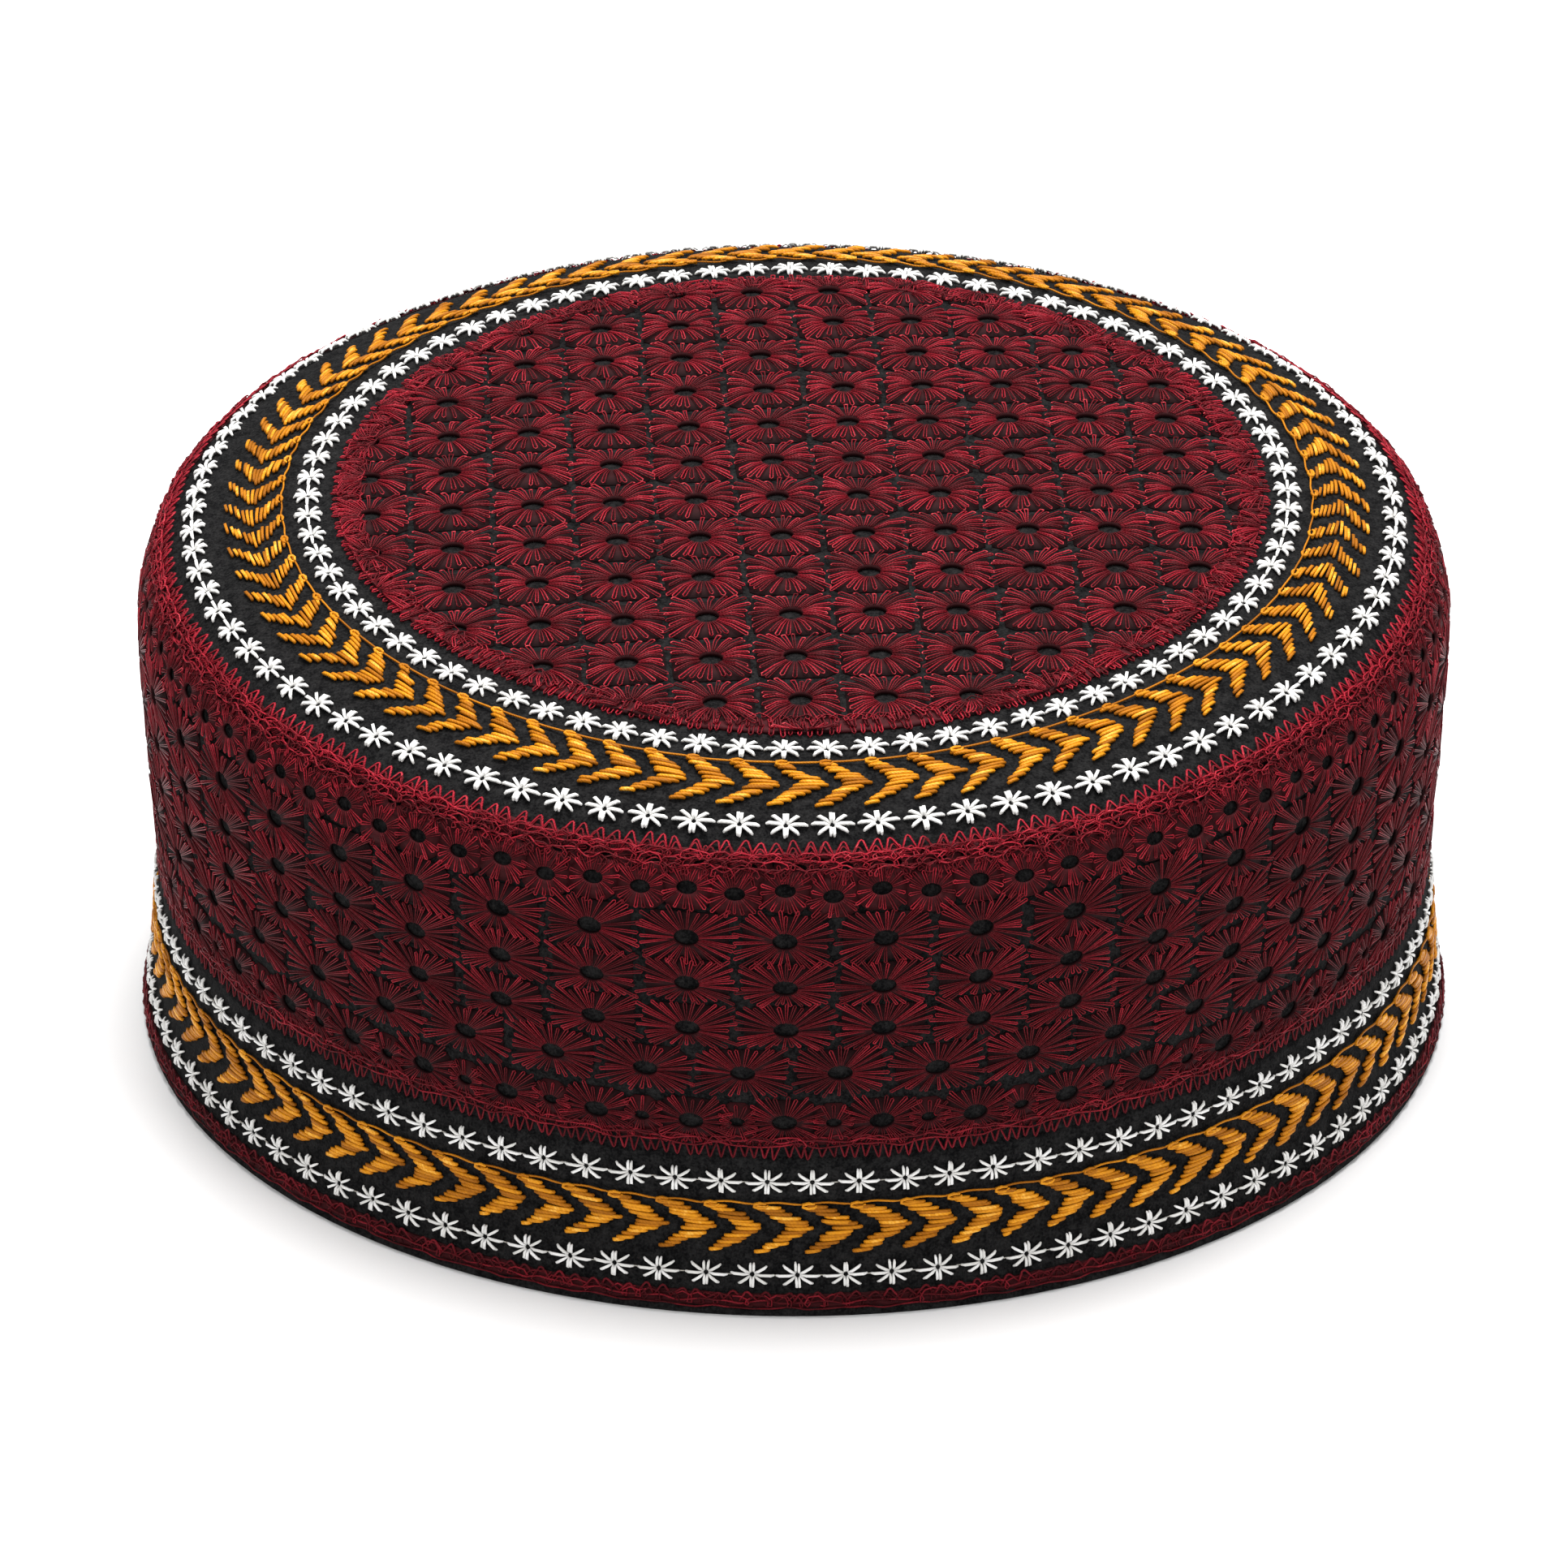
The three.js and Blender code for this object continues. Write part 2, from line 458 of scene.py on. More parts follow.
def mirrored(*half: float) -> Array:
    """Return values that run up to the last one given and back again."""
    return np.array(half + half[-2::-1])


def spread(count: int, jitter: float, rng: np.random.Generator) -> Array:
    """Return even places from 0 to 1, each moved by up to jitter steps."""
    return (np.arange(count) + rng.uniform(-jitter, jitter, count)) / count


@dataclass(frozen=True)
class Ring:
    """A line round the cap that a pattern follows."""

    form: CapForm
    profile: Profile
    line: float
    centre: Pair = (0.0, 0.0)
    push: float = 0.0

    @classmethod
    def on_crown(
        cls, form: CapForm, radius: float, centre: Pair = (0.0, 0.0), push: float = 0.0
    ) -> Ring:
        """Return a ring on the crown.

        Args:
            form: The cap.
            radius: The ring's radius.
            centre: Its middle in plan.
            push: How far it stands off its circle.

        Returns:
            The ring.
        """
        return cls(form, form.cap, float(form.cap.at_radius(radius)), centre, push)

    @classmethod
    def on_side(cls, form: CapForm, height: float) -> Ring:
        """Return a ring on the side, or on the lower band where the height is on that."""
        profile = form.cap if height > form.band_height else form.band
        return cls(form, profile, float(profile.at_height(height)))

    @property
    def radius(self) -> float:
        """Return the ring's radius."""
        return float(self.profile.read(np.array([self.line]))[0][0])

    def lay(self, angle: Array, out: Array, lift: Array | float) -> Laid:
        """Lay places on the ring.

        Args:
            angle: Angle round the ring, in radians.
            out: Distance from the ring's line, downwards or away from the crown's middle.
            lift: Distance off the cloth.

        Returns:
            Points and outward directions.
        """
        out = out + pushed(angle, self.push)
        if self.centre == (0.0, 0.0):
            return self.form.lay(self.profile, angle, self.line + out, lift)
        radius = self.profile.read(self.line + out)[0]
        x = radius * np.cos(angle) + self.centre[0]
        y = radius * np.sin(angle) + self.centre[1]
        return self.form.lay_plan(x, y, lift)


@dataclass
class ThreadWork:
    """Threads and fillings gathered as arrays, which become one mesh."""

    points: list[Array] = field(default_factory=list)
    faces: list[Array] = field(default_factory=list)
    caps: list[Array] = field(default_factory=list)
    tones: list[Array] = field(default_factory=list)
    face_strands: list[Array] = field(default_factory=list)
    cap_strands: list[Array] = field(default_factory=list)
    count: int = 0
    tip_reach: float = 0.6

    def _keep(self, points: Array, tones: Array) -> int:
        """Keep points and their tones, and return the number of the first."""
        first = self.count
        flat = points.reshape(-1, 3)
        self.points.append(flat)
        self.tones.append(np.broadcast_to(tones, points.shape[:-1]).reshape(-1))
        self.count += len(flat)
        return first

    def add_threads(
        self, laid: Laid, radius: float, tone: Array | float, sides: int = 3, flatness: float = 1.0,
        end: float = 0.7,
    ) -> None:
        """Add closed threads along paths.

        Args:
            laid: Points and outward directions of the paths, each of shape (..., steps, 3).
            radius: Half the thread's width.
            tone: Brightness of each thread, of a shape that broadcasts to (..., steps).
            sides: Faces round the thread.
            flatness: Height of the thread as a share of its width.
            end: Width of the thread's ends as a share of its width.
        """
        steps = laid[0].shape[-2]
        path, normal = (part.reshape(-1, steps, 3) for part in laid)
        tone = np.broadcast_to(tone, laid[0].shape[:-1]).reshape(-1, steps)
        threads = len(path)
        tangent, length = unit(np.gradient(path, axis=1))
        side = unit(np.cross(tangent, normal))[0]
        up = np.cross(side, tangent)
        turn = TURN * (np.arange(sides) + 0.5) / sides
        taper = np.ones(steps)
        taper[[0, -1]] = end
        width = (radius * taper)[None, :, None, None]
        ring = path[:, :, None] + width * (
            np.cos(turn)[:, None] * side[:, :, None] + flatness * np.sin(turn)[:, None] * up[:, :, None]
        )
        before = path[:, 0] - self.tip_reach * radius * tangent[:, 0]
        past = path[:, -1] + self.tip_reach * radius * tangent[:, -1]
        tips = np.stack([before, past], 1)
        first = self._keep(ring, tone[:, :, None])
        first_tip = self._keep(tips, tone[:, [0, -1]])
        grid = first + np.arange(threads * steps * sides).reshape(threads, steps, sides)
        after = np.roll(grid, -1, axis=2)
        quads = np.stack([grid[:, :-1], grid[:, 1:], after[:, 1:], after[:, :-1]], axis=-1)
        self.faces.append(quads.reshape(-1, 4))
        tip = first_tip + np.arange(threads * 2).reshape(threads, 2, 1) + np.zeros((1, 1, sides), int)
        self.caps.append(np.stack([tip[:, 0], grid[:, 0], after[:, 0]], -1).reshape(-1, 3))
        self.caps.append(np.stack([tip[:, 1], after[:, -1], grid[:, -1]], -1).reshape(-1, 3))
        self._add_strands(length[..., 0], sides)

    def _add_strands(self, length: Array, sides: int) -> None:
        """Add each corner's place on its thread: how far along it, and how far round it.

        Args:
            length: Length of each step of each thread.
            sides: Faces round the thread.
        """
        threads = len(length)
        run = np.concatenate([np.zeros((threads, 1)), np.cumsum(length[:, 1:], axis=1)], axis=1)
        around = np.arange(sides + 1) / sides
        low, high = run[:, :-1, None], run[:, 1:, None]
        near, far = around[:-1], around[1:]
        corners = [(low, near), (high, near), (high, far), (low, far)]
        strands = [np.stack(np.broadcast_arrays(*corner), axis=-1) for corner in corners]
        self.face_strands.append(np.stack(strands, axis=-2).reshape(-1, 2))
        self.cap_strands.append(np.zeros((threads * sides * 2 * 3, 2)))

    def add_hoops(self, points: Array, tone: Array) -> None:
        """Add closed rings of filling.

        Args:
            points: Points of shape (fillings, hoops, segments, 3), whose hoops run from the inner foot
                over the top to the outer foot.
            tone: Brightness of each hoop.
        """
        fillings, hoops, segments = points.shape[:3]
        first = self._keep(points, tone[:, None])
        grid = first + np.arange(fillings * hoops * segments).reshape(fillings, hoops, segments)
        outer = np.roll(grid, -1, axis=1)
        quads = np.stack([grid, outer, np.roll(outer, -1, axis=2), np.roll(grid, -1, axis=2)], axis=-1)
        self.faces.append(quads.reshape(-1, 4))
        self.face_strands.append(np.zeros((quads.size, 2)))

    def build(self, name: str, finish: ThreadFinish, replaced: str = "") -> None:
        """Make the piece, which rides on the body.

        Args:
            name: Name of the piece.
            finish: Its thread.
            replaced: CAD node that it stands for, if any.
        """
        points = np.concatenate(self.points) * MM
        quads = np.concatenate(self.faces)
        caps = np.concatenate(self.caps)
        mesh = bpy.data.meshes.new(name)
        mesh.vertices.add(len(points))
        mesh.vertices.foreach_set("co", points.astype(np.float32).ravel())
        mesh.loops.add(quads.size + caps.size)
        corners = np.concatenate([quads.ravel(), caps.ravel()])
        mesh.loops.foreach_set("vertex_index", corners.astype(np.int32))
        starts = np.concatenate([4 * np.arange(len(quads)), quads.size + 3 * np.arange(len(caps))])
        mesh.polygons.add(len(starts))
        mesh.polygons.foreach_set("loop_start", starts.astype(np.int32))
        tone = mesh.attributes.new("tone", "FLOAT", "POINT")
        tone.data.foreach_set("value", np.concatenate(self.tones).astype(np.float32))
        strand = mesh.uv_layers.new(name="strand")
        places = np.concatenate(self.face_strands + self.cap_strands)
        strand.data.foreach_set("uv", places.astype(np.float32).ravel())
        mesh.update(calc_edges=True)
        mesh.shade_smooth()
        piece = bpy.data.objects.new(name, mesh)
        bpy.context.scene.collection.objects.link(piece)
        dress(piece, finish, replaced)


MATERIALS: dict[str, bpy.types.Material] = {}


def dress(piece: bpy.types.Object, finish: FeltFinish | ThreadFinish, replaced: str = "") -> None:
    """Give a piece its finish and its body, and hide the CAD node that it stands for."""
    if finish.name not in MATERIALS:
        MATERIALS[finish.name] = finish.build()
    piece.data.materials.clear()
    piece.data.materials.append(MATERIALS[finish.name])
    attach(piece, BODY)
    if replaced:
        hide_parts(replaced)
    faces = sum(len(polygon.vertices) - 2 for polygon in piece.data.polygons)
    LOG.info("%s: %d triangles", piece.name, faces)


@dataclass
class ClothBody:
    """The black cloth: crown panel, side wall and lower band, each turned from its section.

    Edge_round is the radius of the rim's outer edge, lap how far the band's top goes in under the
    side, and weld the distance within which points are joined.
    """

    form: CapForm
    finish: FeltFinish
    turn_steps: int = 144
    section_steps: int = 22
    edge_round: float = 0.5
    edge_steps: int = 5
    edge_start: float = 0.15
    lap: float = 0.6
    weld: float = 0.02
    crease: float = math.radians(50)

    def _section(self, profile: Profile, start: float, end: float, thickness: float) -> Outline:
        """Return the closed outline of a wall between two places on its profile."""
        along = np.linspace(start, end, self.section_steps)
        radius, height, out_radius, out_height = profile.read(along)
        inner_radius = radius - thickness * out_radius
        inner_height = height - thickness * out_height
        on_axis = radius[0] == 0.0
        if on_axis:
            inner_radius[0] = 0.0
        outer = list(zip(radius, height))
        inner = list(zip(inner_radius, inner_height))[::-1]
        outline = outer + inner
        return outline if on_axis else outline + outline[:1]

    def _turned(self, name: str, outline: Outline) -> bpy.types.Object:
        """Spin an outline round the axis into a closed piece."""
        bpy.ops.object.select_all(action="DESELECT")
        bpy.ops.mesh.primitive_plane_add(size=MM, location=(outline[0][0] * MM, 0.0, outline[0][1] * MM))
        piece = bpy.context.object
        piece.name = name
        piece.data.name = name
        bpy.ops.object.transform_apply(location=True, rotation=False, scale=False)
        bpy.ops.object.mode_set(mode="EDIT")
        bpy.ops.mesh.select_all(action="SELECT")
        bpy.ops.mesh.merge(type="CENTER")
        for (radius, height), (after, lower) in zip(outline, outline[1:]):
            step = ((after - radius) * MM, 0.0, (lower - height) * MM)
            bpy.ops.mesh.extrude_region_move(TRANSFORM_OT_translate={"value": step})
        bpy.ops.mesh.select_all(action="SELECT")
        bpy.ops.mesh.spin(steps=self.turn_steps, angle=TURN, center=(0, 0, 0), axis=(0, 0, 1))
        bpy.ops.mesh.select_all(action="SELECT")
        bpy.ops.mesh.remove_doubles(threshold=self.weld * MM)
        bpy.ops.mesh.normals_make_consistent(inside=False)
        bpy.ops.object.mode_set(mode="OBJECT")
        points = np.empty(len(piece.data.vertices) * 3)
        piece.data.vertices.foreach_get("co", points)
        leaned = self.form.leaned(points.reshape(-1, 3) / MM) * MM
        piece.data.vertices.foreach_set("co", leaned.ravel())
        bpy.ops.object.shade_smooth_by_angle(angle=self.crease)
        return piece

    def build(self) -> None:
        """Build the three cloth pieces."""
        form = self.form
        cap = form.cap
        seam = float(cap.at_height(form.seam_height))
        sections = {
            ("crown_cloth", "crown_panel"): self._section(cap, 0.0, seam, form.crown_thickness),
            ("side_cloth", "side_wall"): self._section(cap, seam, cap.line[0][-1], form.side_thickness),
            ("band_cloth", "lower_band"): self._band_section(),
        }
        for (name, node), outline in sections.items():
            dress(self._turned(name, outline), self.finish, node)

    def _band_section(self) -> Outline:
        """Return the lower band's outline, cut flat at the rim with a rounded outer edge."""
        form = self.form
        along = np.linspace(0.0, form.band.line[0][-1], self.section_steps)
        radius, height = form.band.read(along)[:2]
        bend = self.edge_round
        top = (form.band_top_radius - self.lap, form.band_height + self.lap)
        outer = [top] + [(wide, high) for wide, high in zip(radius, height) if high > bend]
        corner = [
            (form.rim_radius - bend * (1 - math.cos(turn)), bend * (1 - math.sin(turn)))
            for turn in np.linspace(self.edge_start, math.pi / 2, self.edge_steps)
        ]
        inner = list(zip(radius - form.band_thickness, height))[::-1]
        outline = outer + corner + inner
        return outline + outline[:1]


@dataclass(frozen=True)
class Flower:
    """One eyelet flower, with doubled threads that run from a raised eye to a rounded outline.

    The rays lie rim_lift off the cloth at the eye and tip_lift at their tips, with an arch between.
    Squareness is the outline's power, where 2 gives an ellipse. Thread is half a ray's width, and
    loop the width of its tip. Filling is the reach of the thread layer under the rays, kept dark as
    painted shade, as a share of the outline; core is its brightness at the eye and painted_fringe_shade
    that at its edge, both low as painted shade. The tips of the painted_glint_share of the rays are
    brightened by painted_tip_glint, a painted highlight. Slip and root are shares of the step between
    rays. Cover is how many half threads the filling lies under the rays.
    """

    width: float
    height: float
    eye_width: float
    eye_height: float
    rays: int
    rim_lift: float
    tip_lift: float
    squareness: float
    thread: float
    loop: float
    filling: float
    segments: int
    core: float
    painted_fringe_shade: float
    eye_drop: float = 0.0
    arch: float = 0.12
    bent: bool = False
    painted_tip_glint: float = 0.0
    painted_glint_share: float = 0.5
    slip: float = 0.3
    root: float = 0.28
    root_drop: float = 0.2
    sway: float = 0.07
    reach: Pair = (0.84, 1.09)
    tones: Pair = (0.34, 0.84)
    fall_power: float = 1.6
    cover: float = 1.9

    @cached_property
    def outline(self) -> Array:
        """Return points of the outline, evenly spaced from the right, counter-clockwise."""
        turn = np.linspace(0.0, TURN, OUTLINE_STEPS + 1)
        cosine, sine = np.cos(turn), np.sin(turn)
        power = 2 / self.squareness
        across = self.width / 2 * np.sign(cosine) * np.abs(cosine) ** power
        up = self.height / 2 * np.sign(sine) * np.abs(sine) ** power
        run = np.concatenate([[0.0], np.cumsum(np.hypot(np.diff(across), np.diff(up)))])
        even = np.linspace(0.0, run[-1], OUTLINE_STEPS + 1)
        return np.stack([np.interp(even, run, across), np.interp(even, run, up)], axis=-1)

    def rim(self, share: Array) -> Array:
        """Return outline points at shares of the way round."""
        place = share % 1.0 * OUTLINE_STEPS
        steps = np.arange(OUTLINE_STEPS + 1)
        return np.stack([np.interp(place, steps, line) for line in self.outline.T], axis=-1)

    def eye(self, share: Array) -> Array:
        """Return points of the eye's rim at shares of the way round."""
        across = self.eye_width / 2 * np.cos(TURN * share)
        up = self.eye_height / 2 * np.sin(TURN * share) - self.eye_drop
        return np.stack([across, up], axis=-1)

    def rays_at(self, count: int, rng: np.random.Generator) -> tuple[Array, Array, Array]:
        """Return the threads of several flowers.

        Args:
            count: Number of flowers.
            rng: Source of the small differences between threads.

        Returns:
            Local places of shape (count, rays, 5 or 7, 2), their lifts, and their tones.
        """
        shape = (count, self.rays, 1)
        step = 1.0 / self.rays
        slip = rng.uniform(0, 1, (count, 1)) + rng.uniform(-self.slip, self.slip, shape[:2])
        share = (np.arange(self.rays) + slip) * step
        tip = self.rim(share) * rng.uniform(*self.reach, shape)
        root_left = self.eye(share - self.root * step)
        root_right = self.eye(share + self.root * step)
        run = tip - self.eye(share)
        shortest = 0.3
        ahead = run / np.maximum(np.linalg.norm(run, axis=-1, keepdims=True), shortest)
        aside = np.stack([-ahead[..., 1], ahead[..., 0]], axis=-1)
        half = 0.5 * self.loop * rng.uniform(0.8, 1.25, shape)
        neck = tip - 0.5 * half * ahead
        left = neck - half * aside
        right = neck + half * aside
        sway = rng.normal(0.0, self.sway, shape) * aside
        places = np.stack([
            root_left,
            0.5 * root_left + 0.5 * left + sway,
            left,
            tip + 0.2 * half * ahead,
            right,
            0.5 * root_right + 0.5 * right + sway,
            root_right,
        ], axis=2)
        run_out = mirrored(0.0, 0.5, 0.92, 1.0)
        fall = (self.tip_lift - self.rim_lift) * run_out**self.fall_power
        lift = self.rim_lift + fall + self.arch * np.sin(math.pi * run_out)
        lifts = lift + rng.normal(0.0, 0.06, shape) + 0.04 * np.sin(7 * share)[..., None]
        lifts[..., [0, -1]] -= self.root_drop
        # Painted light: rays are darker at their roots, where they go down into the eye, and lighter
        # towards their tips; the tips of a share of the rays get a painted highlight.
        tones = rng.uniform(*self.tones, shape) * mirrored(0.7, 0.92, 1.05, 1.2)
        tones[..., 3] += self.painted_tip_glint * (rng.random(shape[:2]) < self.painted_glint_share)
        kept = [0, 1, 2, 3, 4, 5, 6] if self.bent else [0, 2, 3, 4, 6]
        return places[:, :, kept], lifts[..., kept], tones[..., kept]

    def filling_hoops(self) -> tuple[Array, Array, Array]:
        """Return local places of the filling's hoops, their lifts and their tones."""
        share = np.arange(self.segments) / self.segments
        eye = self.eye(share)
        edge = self.rim(share) * self.filling
        places = np.stack([eye + part * (edge - eye) for part in (0.0, 0.0, 0.45, 1.0, 1.0)])
        top = self.rim_lift - self.cover * self.thread
        low = 0.3 * self.tip_lift
        lifts = np.array([FOOT_LIFT, top, 0.6 * top + 0.4 * low, low, FOOT_LIFT])
        # Painted shade: the tones are 0, black, down the eye's wall and at the outer foot under the tips,
        # and low over the rest of the filling, between and under the rays.
        tones = np.array([0.0, self.core, 0.8 * self.core, self.painted_fringe_shade, 0.0])
        return places, lifts, tones


@dataclass
class CrownField:
    """Maroon flowers in a slightly turned grid on the crown, cut off by the field's round edge."""

    form: CapForm
    radius: float = 67.0
    centre: Pair = FIELD_CENTRE
    push: float = CROWN_PUSH
    column_pitch: float = 11.75
    row_pitch: float = 11.16
    grid_reach: int = 9
    turn: float = math.radians(3.4)
    first_eye: Pair = (-1.7, -16.6)
    overhang: float = 4.0
    shortest_ray: float = 0.5
    flower: Flower = Flower(
        width=11.6, height=10.4, eye_width=3.5, eye_height=3.3, rays=25, rim_lift=1.05, tip_lift=0.72,
        squareness=10.0, thread=0.108, loop=0.55, filling=0.94, bent=True, segments=20, arch=0.2, core=0.08,
        painted_fringe_shade=0.01, painted_tip_glint=0.7,
    )
    seed: int = 11

    def eyes(self) -> Array:
        """Return the plan places of the flowers' eyes that lie on the field."""
        steps = np.arange(-self.grid_reach, self.grid_reach + 1)
        column, row = (part.ravel() for part in np.meshgrid(steps, steps))
        across = column * self.column_pitch
        up = row * self.row_pitch
        x = self.first_eye[0] + across * math.cos(self.turn) - up * math.sin(self.turn)
        y = self.first_eye[1] + across * math.sin(self.turn) + up * math.cos(self.turn)
        places = np.stack([x, y], axis=-1)
        return places[self._past_edge(places) < self.overhang]

    def _past_edge(self, places: Array) -> Array:
        """Return how far places lie past the field's edge."""
        away = places - np.array(self.centre)
        return np.linalg.norm(away, axis=-1) - self._edge(away)

    def _edge(self, away: Array) -> Array:
        """Return the field's radius towards places, given from its middle."""
        return self.radius + pushed(np.arctan2(away[..., 1], away[..., 0]), self.push)

    def _kept_in(self, places: Array) -> Array:
        """Pull places that lie past the field's edge back to it."""
        middle = np.array(self.centre)
        away = places - middle
        reach = np.linalg.norm(away, axis=-1, keepdims=True)
        return middle + away * np.minimum(1.0, self._edge(away)[..., None] / np.maximum(reach, 1e-6))

    def _placed(self, eyes: Array, local: Array) -> Array:
        """Turn local places with the grid and move them to the flowers' eyes."""
        cosine, sine = math.cos(self.turn), math.sin(self.turn)
        x, y = local[..., 0], local[..., 1]
        turned = np.stack([x * cosine - y * sine, x * sine + y * cosine], axis=-1)
        return eyes[:, None, None] + turned

    def build(self) -> None:
        """Build the field's flowers."""
        rng = np.random.default_rng(self.seed)
        eyes = self.eyes()
        work = ThreadWork()
        hoops, lifts, tones = self.flower.filling_hoops()
        places = self._kept_in(self._placed(eyes, hoops))
        work.add_hoops(self.form.lay_plan(places[..., 0], places[..., 1], lifts[:, None])[0], tones)
        local, lift, tone = self.flower.rays_at(len(eyes), rng)
        places = self._placed(eyes, local)
        within = self._past_edge(places).min(axis=-1) < -self.shortest_ray
        places = self._kept_in(places)[within]
        laid = self.form.lay_plan(places[..., 0], places[..., 1], lift[within])
        work.add_threads(laid, self.flower.thread, tone[within])
        work.build("crown_flowers", MAROON, "crown_field")
        LOG.info("crown flowers: %d", len(eyes))


@dataclass(frozen=True)
class FlowerRow:
    """One row of flowers round the side."""

    height: float
    shift: float
    flower: Flower
    count: int = 45
    tone: float = 0.8


@dataclass
class SideField:
    """Maroon flowers in rows round the side wall and the shoulder."""

    form: CapForm
    shift: float = -0.012
    wander: float = 0.0012
    sink: float = 0.12
    seed: int = 23

    def rows(self) -> dict[str, list[FlowerRow]]:
        """Return the rows of each piece, from the shoulder down."""
        large = Flower(
            width=13.2, height=8.8, eye_width=3.5, eye_height=2.8, rays=30, rim_lift=0.8, tip_lift=0.42,
            squareness=12.0, thread=0.105, loop=0.38, filling=0.86, segments=16, core=0.04, painted_fringe_shade=0.015,
        )
        middle = replace(large, height=7.4, eye_height=2.6, eye_drop=0.5)
        level = replace(middle, height=8.2, eye_drop=0.2)
        foot = replace(large, width=10.6, height=8.5, rays=25, squareness=4.5)
        shoulder = replace(
            large, width=6.9, height=6.4, eye_width=2.9, eye_height=2.0, rays=16, squareness=4.0,
            filling=1.0, segments=12, core=0.12, painted_fringe_shade=0.08,
        )
        eyelet = replace(
            shoulder, width=6.6, height=4.6, eye_width=2.5, eye_height=1.1, rays=12, squareness=3.0,
            segments=10,
        )
        small = replace(eyelet, width=5.4, height=6.4, eye_width=2.3, eye_height=1.8, rays=13, core=0.08)
        return {
            "shoulder_flowers": [
                FlowerRow(72.9, 0.25, eyelet, 90),
                FlowerRow(70.1, 0.0, shoulder, tone=0.95),
                FlowerRow(69.5, 0.5, shoulder, tone=0.95),
            ],
            "side_flowers_upper": [FlowerRow(62.9, 0.0, large, tone=0.85), FlowerRow(55.6, 0.0, middle)],
            "side_flowers_middle": [FlowerRow(48.2, 0.0, middle), FlowerRow(40.5, 0.55, level, tone=0.78)],
            "side_flowers_lower": [
                FlowerRow(31.6, 0.0, foot, tone=0.75), FlowerRow(31.6, 0.5, small, tone=0.75)
            ],
        }

    def build(self) -> None:
        """Build the rows of flowers, a few rows to a piece."""
        rng = np.random.default_rng(self.seed)
        for name, rows in self.rows().items():
            work = ThreadWork()
            for row in rows:
                self._add_row(work, row, rng)
            work.build(name, MAROON, "side_field")

    def _add_row(self, work: ThreadWork, row: FlowerRow, rng: np.random.Generator) -> None:
        """Add one row of flowers to a piece."""
        ring = Ring.on_side(self.form, row.height)
        angles = FRONT + self.shift + TURN * (np.arange(row.count) + row.shift) / row.count
        angles = angles + rng.normal(0, self.wander, row.count)
        sink = rng.normal(0, self.sink, row.count)

        def laid(local: Array, lift: Array) -> Laid:
            """Lay local places of the row's flowers on the cap."""
            angle = angles[:, None, None] + local[..., 0] / ring.radius
            return ring.lay(angle, sink[:, None, None] - local[..., 1], lift)

        hoops, lifts, tones = row.flower.filling_hoops()
        work.add_hoops(laid(hoops, lifts[:, None])[0], tones)
        local, lift, tone = row.flower.rays_at(row.count, rng)
        work.add_threads(laid(local, lift), row.flower.thread, row.tone * tone)


